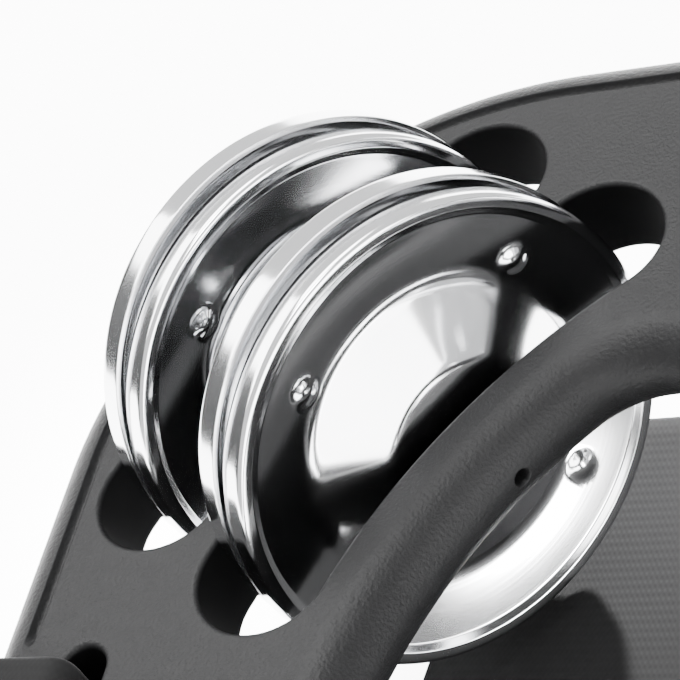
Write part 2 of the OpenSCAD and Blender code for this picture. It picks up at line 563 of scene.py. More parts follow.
@dataclass(frozen=True)
class Outline:
    """A wall line in plan, with the direction that points out of the material."""

    points: np.ndarray
    normals: np.ndarray

    @staticmethod
    def arc(
        centre: Sequence[float], radius: float, start: float, end: float, step: float, void: float
    ) -> "Outline":
        """Draws a circular arc.

        Args:
            centre: its centre.
            radius: its radius.
            start: first angle in degrees.
            end: last angle in degrees.
            step: longest distance between points.
            void: plus one if the open side is outside the circle, else minus one.

        Returns:
            The arc with both end points.
        """
        count = max(3, math.ceil(abs(math.radians(end - start)) * radius / step))
        angle = np.radians(np.linspace(start, end, count + 1))
        ray = np.stack([np.cos(angle), np.sin(angle)], axis=1)
        return Outline(np.asarray(centre) + radius * ray, void * ray)

    @staticmethod
    def line(start: Sequence[float], end: Sequence[float], normal: Sequence[float], step: float) -> "Outline":
        """Draws a straight run.

        Args:
            start: first point.
            end: last point.
            normal: direction out of the material.
            step: longest distance between points.

        Returns:
            The run with both end points.
        """
        first, last = np.asarray(start, dtype=float), np.asarray(end, dtype=float)
        count = max(2, math.ceil(float(np.linalg.norm(last - first)) / step))
        share = np.linspace(0.0, 1.0, count + 1)[:, None]
        return Outline(first + (last - first) * share, np.repeat([normal], count + 1, axis=0).astype(float))

    @staticmethod
    def closed(*parts: "Outline") -> "Outline":
        """Joins runs end to end into a loop.

        Args:
            parts: runs in order, each starting where the one before it ends.

        Returns:
            The loop, with no point repeated.
        """
        points = np.concatenate([part.points[:-1] for part in parts])
        normals = np.concatenate([part.normals[:-1] for part in parts])
        return Outline(points, normals)

    def moved(self, turn: np.ndarray) -> "Outline":
        """Turns the outline about the origin.

        Args:
            turn: two by two matrix.

        Returns:
            The turned outline.
        """
        return Outline(self.points @ turn.T, self.normals @ turn.T)

    def wall(self, inset: np.ndarray, height: np.ndarray) -> np.ndarray:
        """Carries a profile along the line: inset into the material across, height up.

        Args:
            inset: distances into the material, one row per point or a single row.
            height: heights to match.

        Returns:
            Points, path first and profile second.
        """
        count = len(self.points)
        inset = np.broadcast_to(inset, (count, inset.shape[-1]))
        height = np.broadcast_to(height, (count, height.shape[-1]))
        plan = self.points[:, None, :] - self.normals[:, None, :] * inset[:, :, None]
        return np.concatenate([plan, height[:, :, None]], axis=2)


@dataclass(frozen=True)
class Station:
    """One pin's place on the ring."""

    side: Side
    angle: float = 55.0

    @property
    def outward(self) -> np.ndarray:
        """Direction along the pin, away from the centre."""
        turn = math.radians(self.angle)
        return np.array([self.side.value * math.sin(turn), math.cos(turn), 0.0])

    @property
    def along(self) -> np.ndarray:
        """Direction across the pin in plan, a quarter turn on from outward."""
        out = self.outward
        return np.array([-out[1], out[0], 0.0])

    @property
    def turn(self) -> np.ndarray:
        """Matrix from the station's own plan to the part's plan."""
        return np.stack([self.outward[:2], self.along[:2]], axis=1)


# The ring


@dataclass(frozen=True)
class Spacing:
    """Longest distances between points along the ring's outlines."""

    outside: float = 0.9
    heel: float = 1.4
    toe: float = 0.6
    bar: float = 0.7
    opening: float = 0.8
    pin: float = 0.1
    slot: float = 0.9
    slot_end: float = 0.4
    strap_slot: float = 1.0
    strap_end: float = 0.35


@dataclass
class Ring:
    """The moulded ring: round outside and inside edges, filleted slots and a groove."""

    half: float = 5.0
    radius: float = 51.0
    corner: tuple[float, float] = (15.0, 11.0)
    side_length: float = 40.0
    slot_reaches: tuple[float, float] = (31.0, 48.8)
    slot_bend: float = 80.0
    slot_width: float = 14.6
    slot_length: float = 62.0
    slot_fillet: float = 0.6
    inner_strip: float = 2.6
    toe_corner: float = 10.0
    heel_corner: float = 20.0
    strap_slot: tuple[float, float, float, float] = (51.0, 56.0, -46.0, -12.0)
    strap_fillet: float = 0.7
    groove_inset: float = 5.2
    groove_radius: float = 0.7
    groove_depth: float = 0.805
    groove_power: float = 0.75
    groove_lip: float = 0.5
    groove_end: float = -10.5
    groove_fade: float = 1.5
    pin_hole: float = 1.0
    pin_depth: float = 1.3
    pin_floor: float = 0.72
    slot_margin: float = 0.05
    edge_margin: float = 0.1
    inner_margin: float = 0.3
    fillet_points: int = 9
    wall_points: int = 7
    inner_points: tuple[int, int] = (14, 37)
    inner_turns: tuple[float, float] = (24.0, 22.0)
    groove_points: int = 31
    outer_points: int = 40
    outer_gap: float = 4.0
    stations: tuple[Station, Station] = (Station(Side.LEFT), Station(Side.RIGHT))
    spacing: Spacing = Spacing()

    @property
    def bend_centre(self) -> float:
        """Where the slots' arcs are centred along the pin line."""
        return self.slot_reaches[0] - self.slot_bend

    @property
    def bar_radius(self) -> float:
        """Radius of the opening's side arcs."""
        return self.slot_bend - self.slot_width / 2 - self.inner_strip - self.half

    def outside(self) -> Outline:
        """Draws the ring's outside: two toe arcs, straight sides and a half circle at the heel.

        Returns:
            The loop.
        """
        across, ahead = self.corner
        wide, front, back = self.radius + across, self.radius + ahead, -self.side_length
        step = self.spacing.outside
        return Outline.closed(
            Outline.arc((across, ahead), self.radius, 0, 90, step, 1),
            Outline.line((across, front), (-across, front), (0, 1), step),
            Outline.arc((-across, ahead), self.radius, 90, 180, step, 1),
            Outline.line((-wide, ahead), (-wide, back), (-1, 0), step),
            Outline.arc((0, back), wide, 180, 360, self.spacing.heel, 1),
            Outline.line((wide, back), (wide, ahead), (1, 0), step),
        )

    def opening(self) -> Outline:
        """Draws the foot opening from a toe arc, a heel arc and two side arcs, finely at the pins' ends.

        Returns:
            The loop.
        """
        turn = math.radians(self.stations[1].angle)
        arc_x, arc_y = -self.bend_centre * math.sin(turn), self.bend_centre * math.cos(turn)
        big, toe, heel = self.bar_radius, self.toe_corner, self.heel_corner
        toe_y = arc_y + math.sqrt((big - toe) ** 2 - arc_x**2)
        heel_y = arc_y - math.sqrt((big - heel) ** 2 - arc_x**2)
        toe_turn = math.degrees(math.atan2(toe_y - arc_y, arc_x))
        heel_turn = math.degrees(math.atan2(arc_y - heel_y, arc_x))
        pin = 90.0 - self.stations[1].angle
        near = math.degrees(2.0 * self.pin_hole / big)
        left, right = (arc_x, arc_y), (-arc_x, arc_y)
        step = self.spacing
        return Outline.closed(
            Outline.arc((0, toe_y), toe, toe_turn, 180 - toe_turn, step.toe, -1),
            Outline.arc(left, big, 180 - toe_turn, 180 - pin - near, step.bar, -1),
            Outline.arc(left, big, 180 - pin - near, 180 - pin + near, step.pin, -1),
            Outline.arc(left, big, 180 - pin + near, 180 + heel_turn, step.opening, -1),
            Outline.arc((0, heel_y), heel, 180 + heel_turn, 360 - heel_turn, step.opening, -1),
            Outline.arc(right, big, -heel_turn, pin - near, step.opening, -1),
            Outline.arc(right, big, pin - near, pin + near, step.pin, -1),
            Outline.arc(right, big, pin + near, toe_turn, step.bar, -1),
        )

    def jingle_slot(self, station: Station, reach: float) -> Outline:
        """Draws one bent slot.

        Args:
            station: the pin it lies across.
            reach: distance of its middle along the pin.

        Returns:
            The loop.
        """
        bend, round_end = reach - self.bend_centre, self.slot_width / 2
        half_turn = math.asin((self.slot_length - self.slot_width) / 2 / bend)
        turn, step = math.degrees(half_turn), self.spacing
        centre = (self.bend_centre, 0.0)
        end_x, end_y = self.bend_centre + bend * math.cos(half_turn), bend * math.sin(half_turn)
        loop = Outline.closed(
            Outline.arc(centre, bend + round_end, -turn, turn, step.slot, -1),
            Outline.arc((end_x, end_y), round_end, turn, turn + 180, step.slot_end, -1),
            Outline.arc(centre, bend - round_end, turn, -turn, step.slot, 1),
            Outline.arc((end_x, -end_y), round_end, -turn + 180, -turn + 360, step.slot_end, -1),
        )
        return loop.moved(station.turn)

    def strap_opening(self, side: Side) -> Outline:
        """Draws one straight strap slot.

        Args:
            side: which side of the ring.

        Returns:
            The loop.
        """
        inside, outside, back, front = self.strap_slot
        middle, end = side.value * (inside + outside) / 2, (outside - inside) / 2
        step = self.spacing
        return Outline.closed(
            Outline.arc((middle, front - end), end, 0, 180, step.strap_end, -1),
            Outline.line((middle - end, front - end), (middle - end, back + end), (1, 0), step.strap_slot),
            Outline.arc((middle, back + end), end, 180, 360, step.strap_end, -1),
            Outline.line((middle + end, back + end), (middle + end, front - end), (-1, 0), step.strap_slot),
        )

    def fillet_profile(self, fillet: float) -> tuple[np.ndarray, np.ndarray]:
        """Gives a slot wall's profile: quarter round, straight wall, quarter round.

        Args:
            fillet: radius of the rounds.

        Returns:
            Insets and heights, top first.
        """
        turn = np.radians(np.linspace(90, 0, self.fillet_points))
        inset = np.concatenate([[fillet + self.slot_margin], fillet * (1 - np.cos(turn))])
        height = np.concatenate([[self.half], self.half - fillet * (1 - np.sin(turn))])
        wall = np.linspace(height[-1], -height[-1], self.wall_points)[1:-1]
        return (
            np.concatenate([inset, np.zeros(len(wall)), inset[::-1]]),
            np.concatenate([height, wall, -height[::-1]]),
        )

    def round_profile(self) -> tuple[np.ndarray, np.ndarray]:
        """Gives the inside edge's half round, finely at mid-height.

        Returns:
            Insets and heights, top first.
        """
        coarse = np.linspace(90, self.inner_turns[0], self.inner_points[0])
        fine = np.linspace(self.inner_turns[1], -self.inner_turns[1], self.inner_points[1])
        turn = np.radians(np.concatenate([coarse, fine, -coarse[::-1]]))
        flat = [self.half + self.inner_margin]
        inset = np.concatenate([flat, self.half * (1 - np.cos(turn)), flat])
        height = np.concatenate([[self.half], self.half * np.sin(turn), [-self.half]])
        return inset, height

    def outside_profile(self, line: Outline) -> tuple[np.ndarray, np.ndarray]:
        """Gives the outside edge's profile: flat, groove, half round, flat.

        The groove fades out where the strap slots begin, and the flat narrows there.

        Args:
            line: the outside.

        Returns:
            Insets and heights, one row per point of the line, top first.
        """
        count = len(line.points)
        groove = smooth_step(line.points[:, 1], self.groove_end - self.groove_fade, self.groove_end)[:, None]
        wide = self.groove_inset + self.groove_radius + self.edge_margin
        narrow = self.half + self.edge_margin
        edge = narrow + (wide - narrow) * groove
        lip = self.groove_inset - self.groove_radius - self.groove_lip
        top_inset = edge + (lip - edge) * np.linspace(0, 1, self.groove_points)[None, :]
        rise = np.maximum(self.half - top_inset, 0.0)
        top_height = np.sqrt(np.maximum(self.half**2 - rise**2, 0.0))
        across = (top_inset - self.groove_inset) / self.groove_radius
        top_height -= groove * self.groove_depth * np.clip(1 - across**2, 0, 1) ** self.groove_power
        start = math.degrees(math.acos(1 - lip / self.half)) - self.outer_gap
        turn = np.radians(np.linspace(start, -90, self.outer_points))[None, :]
        round_inset = np.repeat(self.half * (1 - np.cos(turn)), count, axis=0)
        round_height = np.repeat(self.half * np.sin(turn), count, axis=0)
        last = np.full((count, 1), narrow)
        return (
            np.concatenate([top_inset, round_inset, last], axis=1),
            np.concatenate([top_height, round_height, -self.half + 0 * last], axis=1),
        )

    def pressed(self, line: Outline, points: np.ndarray) -> tuple[np.ndarray, np.ndarray]:
        """Sinks the pin holes into the inside edge.

        Args:
            line: the opening.
            points: the inside edge's points.

        Returns:
            The moved points and how far into a hole each one is.
        """
        share = np.zeros(points.shape[:2])
        for station in self.stations:
            rays = points[:, :, :2] @ station.outward[:2]
            across = points[:, :, :2] @ station.along[:2]
            reach = np.where(rays > 0, np.hypot(across, points[:, :, 2]), np.inf)
            share = np.maximum(share, 1 - smooth_step(reach, self.pin_hole * self.pin_floor, self.pin_hole))
        push = np.concatenate([line.normals, np.zeros((len(line.normals), 1))], axis=1)
        return points - push[:, None, :] * (share * self.pin_depth)[:, :, None], share

    def cap(self, loops: list[np.ndarray], points: np.ndarray) -> np.ndarray:
        """Fills the flat between the loops with triangles, leaving the inner loops open.

        Args:
            loops: indices of each loop's points, in order.
            points: all points.

        Returns:
            Triangles, seen from above in the turning sense of the plan.
        """
        index = np.concatenate(loops)
        plan = points[index, :2]
        starts = np.cumsum([0] + [len(loop) for loop in loops])
        rings = [list(range(start, end)) for start, end in zip(starts[:-1], starts[1:])]
        spots = [Vector(spot) for spot in plan.tolist()]
        inside_with_holes, tolerance = 2, 1e-7
        found = delaunay_2d_cdt(spots, [], rings, inside_with_holes, tolerance)
        source = np.array([origin[0] for origin in found[3]])
        corners = source[np.array(found[2])]
        first, second, third = (plan[corners[:, k]] for k in range(3))
        side, reach = second - first, third - first
        turn = side[:, 0] * reach[:, 1] - side[:, 1] * reach[:, 0]
        return index[np.where(turn[:, None] > 0, corners, corners[:, ::-1])]

    def surface(self) -> Surface:
        """Works out the whole ring: one wall per outline and two flats, with a mask where painted shade goes
        on the slot walls and in the pin holes.

        Returns:
            The closed surface.
        """
        outside, opening = self.outside(), self.opening()
        # the pin holes' share also marks where painted shade goes
        edge, hole_shade_mask = self.pressed(opening, opening.wall(*self.round_profile()))
        walls = [(outside, outside.wall(*self.outside_profile(outside)), None), (opening, edge, hole_shade_mask)]
        slots = [
            (self.jingle_slot(station, reach), self.slot_fillet)
            for station in self.stations
            for reach in self.slot_reaches
        ]
        slots += [(self.strap_opening(side), self.strap_fillet) for side in Side]
        for slot, fillet in slots:
            wall = slot.wall(*self.fillet_profile(fillet))
            # painted shade mask: one on the slot walls between their fillets, falling to nothing over the
            # fillets
            inside = 1 - smooth_step(np.abs(wall[:, :, 2]), self.half - fillet, self.half)
            walls.append((slot, wall, inside))
        points, quads, painted_shade_mask, tops, bottoms, base = [], [], [], [], [], 0
        for line, wall, depth in walls:
            rows, columns = wall.shape[:2]
            ahead = np.roll(line.points, -1, axis=0)[0] - line.points[0]
            flip = ahead[0] * line.normals[0, 1] - ahead[1] * line.normals[0, 0] < 0
            quads.append(grid_quads(rows, columns, True, False, flip) + base)
            tops.append(base + np.arange(rows) * columns)
            bottoms.append(tops[-1] + columns - 1)
            points.append(wall.reshape(-1, 3))
            painted_shade_mask.append((np.zeros((rows, columns)) if depth is None else depth).reshape(-1))
            base += rows * columns
        gathered = np.concatenate(points)
        flats = np.concatenate([self.cap(tops, gathered), self.cap(bottoms, gathered)[:, ::-1]])
        return Surface(gathered, np.concatenate(quads), flats, {"painted_shade_mask": np.concatenate(painted_shade_mask)})

    def build(self, finish: PlasticFinish) -> bpy.types.Object:
        """Makes and dresses the ring.

        Args:
            finish: its plastic.

        Returns:
            The piece.
        """
        piece = self.surface().mesh("ring_shell")
        piece.data.materials.append(finish.material())
        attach(piece, "ring")
        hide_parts("frame")
        return piece


# Pins and discs


@dataclass
class Lathe:
    """A closed profile turned about a pin, or about a line that leans from it at a pivot."""

    station: Station
    around: int = 256
    pivot: float = 0.0
    lean: float = 0.0

    def turned(self, reach: np.ndarray, radius: np.ndarray, flip: bool) -> Surface:
        """Turns the profile: the first parameter goes round the pin, the second along the profile.

        Args:
            reach: distance of each profile point along the pin, one line per angle or a single line.
            radius: its distance from the pin.
            flip: whether to turn the faces over.

        Returns:
            The closed surface, with the profile's running length as an attribute.
        """
        angle = np.linspace(0, 2 * np.pi, self.around, endpoint=False)[:, None]
        reach = np.broadcast_to(reach, (self.around, reach.shape[-1]))
        radius = np.broadcast_to(radius, (self.around, radius.shape[-1]))
        lean, out, up = math.radians(self.lean), self.station.outward, np.array([0.0, 0.0, 1.0])
        axis = out * math.cos(lean) - up * math.sin(lean)
        rise = out * math.sin(lean) + up * math.cos(lean)
        points = (
            self.pivot * out
            + (reach - self.pivot)[:, :, None] * axis
            + (radius * np.cos(angle))[:, :, None] * self.station.along
            + (radius * np.sin(angle))[:, :, None] * rise
        )
        columns = points.shape[1]
        quads = grid_quads(self.around, columns, True, True, flip)
        step = np.hypot(np.diff(reach[0]), np.diff(radius[0]))
        length = np.concatenate([[0.0], np.cumsum(step)])
        return Surface(points.reshape(-1, 3), quads, values={"lathe": np.tile(length, self.around)})


def rounded(corners: Sequence[tuple[float, float, float]], step: float) -> np.ndarray:
    """Rounds the corners of a closed profile and spaces its points.

    Each corner becomes a quadratic curve between the points where its rounding starts and ends.

    Args:
        corners: each corner's two coordinates and its rounding radius.
        step: longest distance between points on the straights.

    Returns:
        Points of the closed profile.
    """
    longest_cut, bend_points = 0.48, 7
    spots = np.array([c[:2] for c in corners], dtype=float)
    radii = np.array([c[2] for c in corners], dtype=float)
    back = np.roll(spots, 1, axis=0) - spots
    ahead = np.roll(spots, -1, axis=0) - spots
    back_len, ahead_len = np.linalg.norm(back, axis=1), np.linalg.norm(ahead, axis=1)
    back, ahead = back / back_len[:, None], ahead / ahead_len[:, None]
    angle = np.arccos(np.clip((back * ahead).sum(axis=1), -1, 1))
    cut = np.minimum(radii / np.tan(angle / 2), longest_cut * np.minimum(back_len, ahead_len))
    enter, leave = spots + back * cut[:, None], spots + ahead * cut[:, None]
    share = np.linspace(0, 1, bend_points)[None, :, None]
    bends = (
        (1 - share) ** 2 * enter[:, None]
        + 2 * share * (1 - share) * spots[:, None]
        + share**2 * leave[:, None]
    )
    runs = []
    following = np.roll(enter, -1, axis=0)
    for bend, start, end in zip(bends, leave, following):
        count = max(1, math.ceil(float(np.linalg.norm(end - start)) / step))
        runs.append(np.concatenate([bend, start + (end - start) * (np.arange(1, count) / count)[:, None]]))
    return np.concatenate(runs)


@dataclass
class Pin:
    """A plain steel pin with a small chamfer at each end."""

    station: Station
    start: float = 17.8
    end: float = 59.7
    radius: float = 1.2
    chamfer: float = 0.25
    core: float = 0.02
    around: int = 48

    def build(self, material: bpy.types.Material) -> bpy.types.Object:
        """Makes and dresses the pin.

        Args:
            material: its steel.

        Returns:
            The piece.
        """
        tip = self.radius - self.chamfer
        reach = [self.start, self.start, self.start + self.chamfer]
        radius = [self.core, tip, self.radius]
        reach = np.array(reach + [self.end - self.chamfer, self.end, self.end])
        radius = np.array(radius + radius[::-1])
        surface = Lathe(self.station, self.around).turned(reach, radius, False)
        node = "pin_left" if self.station.side is Side.LEFT else "pin_right"
        piece = surface.mesh(f"{node}_turned")
        piece.data.materials.append(material)
        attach(piece, "ring")
        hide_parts(node)
        return piece


@dataclass
class Jingle:
    """One pressed disc: deep rim with a bead, dished face with bumps, central dome."""

    station: Station
    slot: str
    letter: str
    slot_reach: float
    way: Way
    radius: float = 25.0
    depth: float = 3.3
    sheet: float = 0.6
    bead_width: float = 1.4
    bead_slope: float = 0.8
    bead_drop: float = 0.5
    dome: float = 16.0
    dome_height: float = 1.7
    dome_round: float = 3.0
    crown_share: float = 0.53
    dish: float = 1.6
    slope_shift: float = 0.1
    hole: float = 2.0
    pair_gap: float = 0.6
    pair_offset: float = 0.8
    lean: float = 8.0
    bump_reach: float = 18.3
    bump_radius: float = 1.7
    bump_height: float = 0.6
    bump_power: float = 1.2
    bump_count: int = 4
    bump_turn: float = 31.0
    step: float = 0.45

    @property
    def node(self) -> str:
        """Name of the CAD node, which is also its body."""
        side = "left" if self.station.side is Side.LEFT else "right"
        return f"jingle_{side}_{self.slot}_{self.letter}"

    def profile(self) -> np.ndarray:
        """Draws the section: radius across, height above the open rim.

        Each corner is a radius, a height and a rounding. The outside goes from the rim's lip over
        the bead, the dished face and the dome to the hole, and the inside comes back. Corners are
        shifted a little on the slopes, so that the sheet keeps its thickness there.

        Returns:
            Points of the closed profile.
        """
        face, rim, thick, curve = self.depth, self.radius, self.sheet, self.dome_round
        bead, foot = rim - self.bead_width, rim - self.bead_width - self.bead_slope
        edge, shift = face - self.bead_drop, self.slope_shift
        top, low, crown = face + self.dome_height, edge - self.dish, self.dome * self.crown_share
        corners = [
            (rim, 0.0, 0.08),
            (rim, face, 0.7),
            (bead, face, 0.45),
            (foot, edge, 0.8),
            (self.dome + shift, low, curve),
            (crown, top, curve),
            (self.hole, top, 0.25),
            (self.hole, top - thick, 0.1),
            (crown - 2 * shift, top - thick, curve),
            (self.dome - shift, low - thick, curve),
            (foot + 2 * shift, edge - thick, 0.8),
            (rim - thick, edge - thick, 0.4),
            (rim - thick, 0.0, 0.08),
        ]
        return rounded(corners, self.step)

    def bumps(self, radius: np.ndarray, around: int) -> np.ndarray:
        """Works out the pressed bumps: caps that fall from their middles to nothing at their radius.

        Args:
            radius: distance of each profile point from the pin.
            around: points round the disc.

        Returns:
            Heights, one line per angle.
        """
        angle = np.linspace(0, 2 * np.pi, around, endpoint=False)[:, None]
        across, up = radius * np.cos(angle), radius * np.sin(angle)
        height = np.zeros_like(across)
        for k in range(self.bump_count):
            turn = math.radians(self.way.value * self.bump_turn + 360.0 * k / self.bump_count)
            x, y = self.bump_reach * math.cos(turn), self.bump_reach * math.sin(turn)
            off = np.hypot(across - x, up - y) / self.bump_radius
            height += self.bump_height * np.clip(1 - off**2, 0, 1) ** self.bump_power
        return height

    def build(self, material: bpy.types.Material) -> bpy.types.Object:
        """Makes and dresses the disc.

        Args:
            material: its steel.

        Returns:
            The piece.
        """
        way = self.way.value
        start = self.slot_reach - self.pair_offset + way * self.pair_gap / 2
        pivot = start + way * (self.depth + self.dome_height - self.sheet / 2)
        lathe = Lathe(self.station, pivot=pivot, lean=self.lean)
        section = self.profile()
        height = section[None, :, 1] + self.bumps(section[None, :, 0], lathe.around)
        surface = lathe.turned(start + way * height, section[None, :, 0], self.way is Way.INWARD)
        piece = surface.mesh(f"{self.node}_pressed")
        piece.data.materials.append(material)
        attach(piece, self.node)
        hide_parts(self.node)
        return piece


# The strap


@dataclass
class Strap:
    """Woven elastic under the ring, each end looped through a slot and sewn to itself."""

    thickness: float = 1.5
    back: float = -44.0
    front: float = -14.0
    tongue_front: float = 37.0
    tongue_tip: float = 21.0
    tongue_corner: tuple[float, float] = (5.0, 4.0)
    shoulder: tuple[float, float] = (34.0, 11.5)
    main_height: float = -7.8
    sole_height: float = -27.5
    sole_band: float = 1.5
    drop_end: float = 35.8
    drop_lean: float = 0.8
    upper_height: float = -6.2
    top_height: float = 6.2
    slot_side: float = 54.8
    rail_side: float = 67.2
    overlap_end: float = 40.0
    step: float = 0.8
    shortest: float = 1e-6
    flat_points: int = 41
    edge_points: int = 5
    smoothing: int = 3
    thread: float = 0.55
    thread_points: tuple[int, int] = (9, 8)
    thread_taper: int = 6
    thread_tip: float = 0.02
    thread_arch: float = 0.42
    thread_sink: float = 0.25
    thread_squash: float = 0.8
    stitch_pitch: float = 3.2
    stitch_length: float = 2.5
    stitch_margin: float = 2.5
    seam_insets: tuple[float, float] = (3.0, 3.5)

    def path(self) -> np.ndarray:
        """Draws the strap's middle line from the left sewn end to the right one.

        Each corner of the half is a distance across, a height and a rounding.

        Returns:
            Points across and up.
        """
        half = [
            (self.overlap_end, self.upper_height, 0.0),
            (self.slot_side, self.upper_height, 1.2),
            (self.slot_side, self.top_height, 2.0),
            (self.rail_side, self.top_height, 3.6),
            (self.rail_side, self.main_height, 3.6),
            (self.overlap_end + self.drop_lean, self.main_height, 2.0),
            (self.drop_end, self.sole_height, 2.5),
        ]
        loop = rounded([(-x, z, r) for x, z, r in half] + half[::-1], self.step)
        right_end = np.array([self.overlap_end, self.upper_height])
        run = loop[: int(np.argmin(np.linalg.norm(loop - right_end, axis=1))) + 1]
        gap = np.linalg.norm(np.diff(run, axis=0), axis=1)
        return run[np.concatenate([[True], gap > self.shortest])]

    def front_edge(self, path: np.ndarray) -> np.ndarray:
        """Finds the strap's front edge along its length: a tongue under the discs, eased at its corners.

        Args:
            path: the middle line.

        Returns:
            The edge's distance towards the toe.
        """
        wide, middle = self.shoulder
        beside, behind = self.tongue_corner
        stops = [0.0, self.tongue_tip, self.tongue_tip + beside, wide, self.drop_end]
        fronts = [self.tongue_front, self.tongue_front, self.tongue_front - behind, middle, self.front]
        lowest = path[:, 1] < self.sole_height + self.sole_band
        edge = np.where(lowest, np.interp(np.abs(path[:, 0]), stops, fronts), self.front)
        kernel = np.hanning(2 * self.smoothing + 1)
        return np.convolve(np.pad(edge, self.smoothing, mode="edge"), kernel / kernel.sum(), mode="valid")

    def surface(self) -> tuple[Surface, tuple[float, float], float]:
        """Works out the band: the first parameter runs along the path, the second round its section.

        The section is a flat top, a half round at the front edge, a flat underside and a half round at
        the back edge. Each end is closed by faces between the section's upper and lower halves.

        Returns:
            The closed surface, its flat width and length, and its flat area, in millimetres.
        """
        path, flat, turns = self.path(), self.flat_points, self.edge_points
        ahead = np.gradient(path, axis=0)
        ahead /= np.linalg.norm(ahead, axis=1)[:, None]
        normal = np.stack([-ahead[:, 1], ahead[:, 0]], axis=1)
        step = np.hypot(*np.diff(path, axis=0).T)
        length = np.concatenate([[0.0], np.cumsum(step)])
        front, bead = self.front_edge(path), self.thickness / 2
        turn = np.radians(np.linspace(90, -90, turns + 2))[1:-1]
        share, level = np.linspace(0, 1, flat), np.ones(flat)
        rise, swell = bead * np.sin(turn), bead * np.cos(turn)
        side = np.concatenate([share, np.ones(turns), share[::-1], np.zeros(turns)])
        lift = np.concatenate([bead * level, rise, -bead * level, rise[::-1]])
        bulge = np.concatenate([0 * level, swell, 0 * level, -swell])
        first, edge = self.back + bead, front - bead
        across = first + (edge - first)[:, None] * side[None, :] + bulge[None, :]
        plan = path[:, None, :] + normal[:, None, :] * lift[None, :, None]
        points = np.stack([plan[:, :, 0], across, plan[:, :, 1]], axis=2)
        rows, columns = points.shape[:2]
        front_middle = flat + turns // 2
        back_middle = front_middle + flat + turns
        upper = np.arange(front_middle, back_middle - columns - 1, -1) % columns
        lower = np.arange(front_middle, back_middle + 1)
        fill = np.stack([upper[1:-2], upper[2:-1], lower[2:-1], lower[1:-2]], axis=1)
        tips = np.array([[front_middle, upper[1], lower[1]], [upper[-2], back_middle, lower[-2]]])
        last = (rows - 1) * columns
        band = grid_quads(rows, columns, False, True, False)
        quads = np.concatenate([band, fill[:, ::-1], fill + last])
        triangles = np.concatenate([tips[:, ::-1], tips + last])
        values = {"along": np.repeat(length, columns) * MM, "across": across.reshape(-1) * MM}
        width = front - self.back
        surface = Surface(points.reshape(-1, 3), quads, triangles, values)
        return surface, (float(width.max()), float(length[-1])), float(np.trapz(width, length))

    def stitches(self) -> Surface:
        """Works out the sewn rows as short arched threads, two rows at each end on both faces.

        Each thread is a tube along the strap's width: its girth tapers at the tips, and its middle arches.

        Returns:
            The surface of all threads.
        """
        bead = self.thickness / 2
        seams = (self.overlap_end + self.seam_insets[0], self.slot_side - self.seam_insets[1])
        faces = ((self.main_height - bead, -1.0), (self.upper_height + bead, 1.0))
        rows = [(side.value * x, z, lift) for side in Side for x in seams for z, lift in faces]
        stop = self.front - self.stitch_margin - self.stitch_length
        starts = np.arange(self.back + self.stitch_margin, stop, self.stitch_pitch)
        row = np.repeat(np.array(rows), len(starts), axis=0)
        start = np.tile(starts, len(rows))
        along = np.linspace(0, 1, self.thread_points[0])
        around = np.linspace(0, 2 * np.pi, self.thread_points[1], endpoint=False)
        taper = np.clip(1 - (2 * along - 1) ** self.thread_taper, self.thread_tip, 1)
        girth = self.thread / 2 * np.sqrt(taper)
        arch = self.thread * (self.thread_arch * np.sin(np.pi * along) - self.thread_sink)
        across = girth[:, None] * np.cos(around)[None, :]
        rise = arch[:, None] + girth[:, None] * np.sin(around)[None, :] * self.thread_squash
        shape = (len(row), len(along), len(around))
        x = row[:, 0, None, None] + across[None]
        y = start[:, None, None] + self.stitch_length * along[None, :, None]
        z = row[:, 1, None, None] + row[:, 2, None, None] * rise[None]
        points = np.stack([np.broadcast_to(c, shape) for c in (x, y, z)], axis=-1).reshape(-1, 3)
        one = shape[1] * shape[2]
        tube = grid_quads(shape[1], shape[2], False, True, False)
        lid = np.array([[0, 1, 2, 3], [0, 3, 4, 7], [4, 5, 6, 7]])
        face = np.concatenate([tube, lid, lid[:, ::-1] + one - shape[2]])
        offset = (np.arange(len(row)) * one)[:, None, None]
        quads = (face[None] + offset).reshape(-1, 4)
        up = np.repeat(row[:, 2] > 0, len(face))
        return Surface(points, np.where(up[:, None], quads, quads[:, ::-1]))

    def build(self, webbing: WebbingFinish, thread: ThreadFinish) -> list[bpy.types.Object]:
        """Makes and dresses the strap and its stitching.

        Args:
            webbing: the elastic's finish.
            thread: the thread's finish.

        Returns:
            The pieces.
        """
        surface, flat, area = self.surface()
        band = surface.mesh("strap_band")
        band.data.materials.append(webbing.material())
        rows = self.stitches().mesh("strap_stitches")
        rows.data.materials.append(thread.material())
        for piece in (band, rows):
            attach(piece, "ring")
        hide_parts("strap")
        flat[0] * MM
        flat[1] * MM
        area * MM * MM
        LOG.info("strap: %.1f mm wide, %.1f mm long, %.0f square mm", flat[0], flat[1], area)
        return [band, rows]


# Studio


@dataclass(frozen=True)
class Lamp:
    """A soft box: its place, width and height in millimetres, power in watts and beam in degrees."""

    name: str
    at: tuple[float, float, float]
    size: tuple[float, float]
    power: float
    aim: tuple[float, float, float] = (0.0, 0.0, 0.0)
    beam: float = 180.0

    def hang(self) -> None:
        """Adds the lamp to the scene, facing its aim."""
        data = bpy.data.lights.new(self.name, "AREA")
        data.shape = "RECTANGLE"
        data.size, data.size_y = self.size[0] * MM, self.size[1] * MM
        data.energy = self.power
        data.spread = math.radians(self.beam)
        lamp = bpy.data.objects.new(self.name, data)
        start, end = Vector(self.at) * MM, Vector(self.aim) * MM
        lamp.location = start
        lamp.rotation_mode = "QUATERNION"
        lamp.rotation_quaternion = (end - start).to_track_quat("-Z", "Y")
        bpy.context.scene.collection.objects.link(lamp)


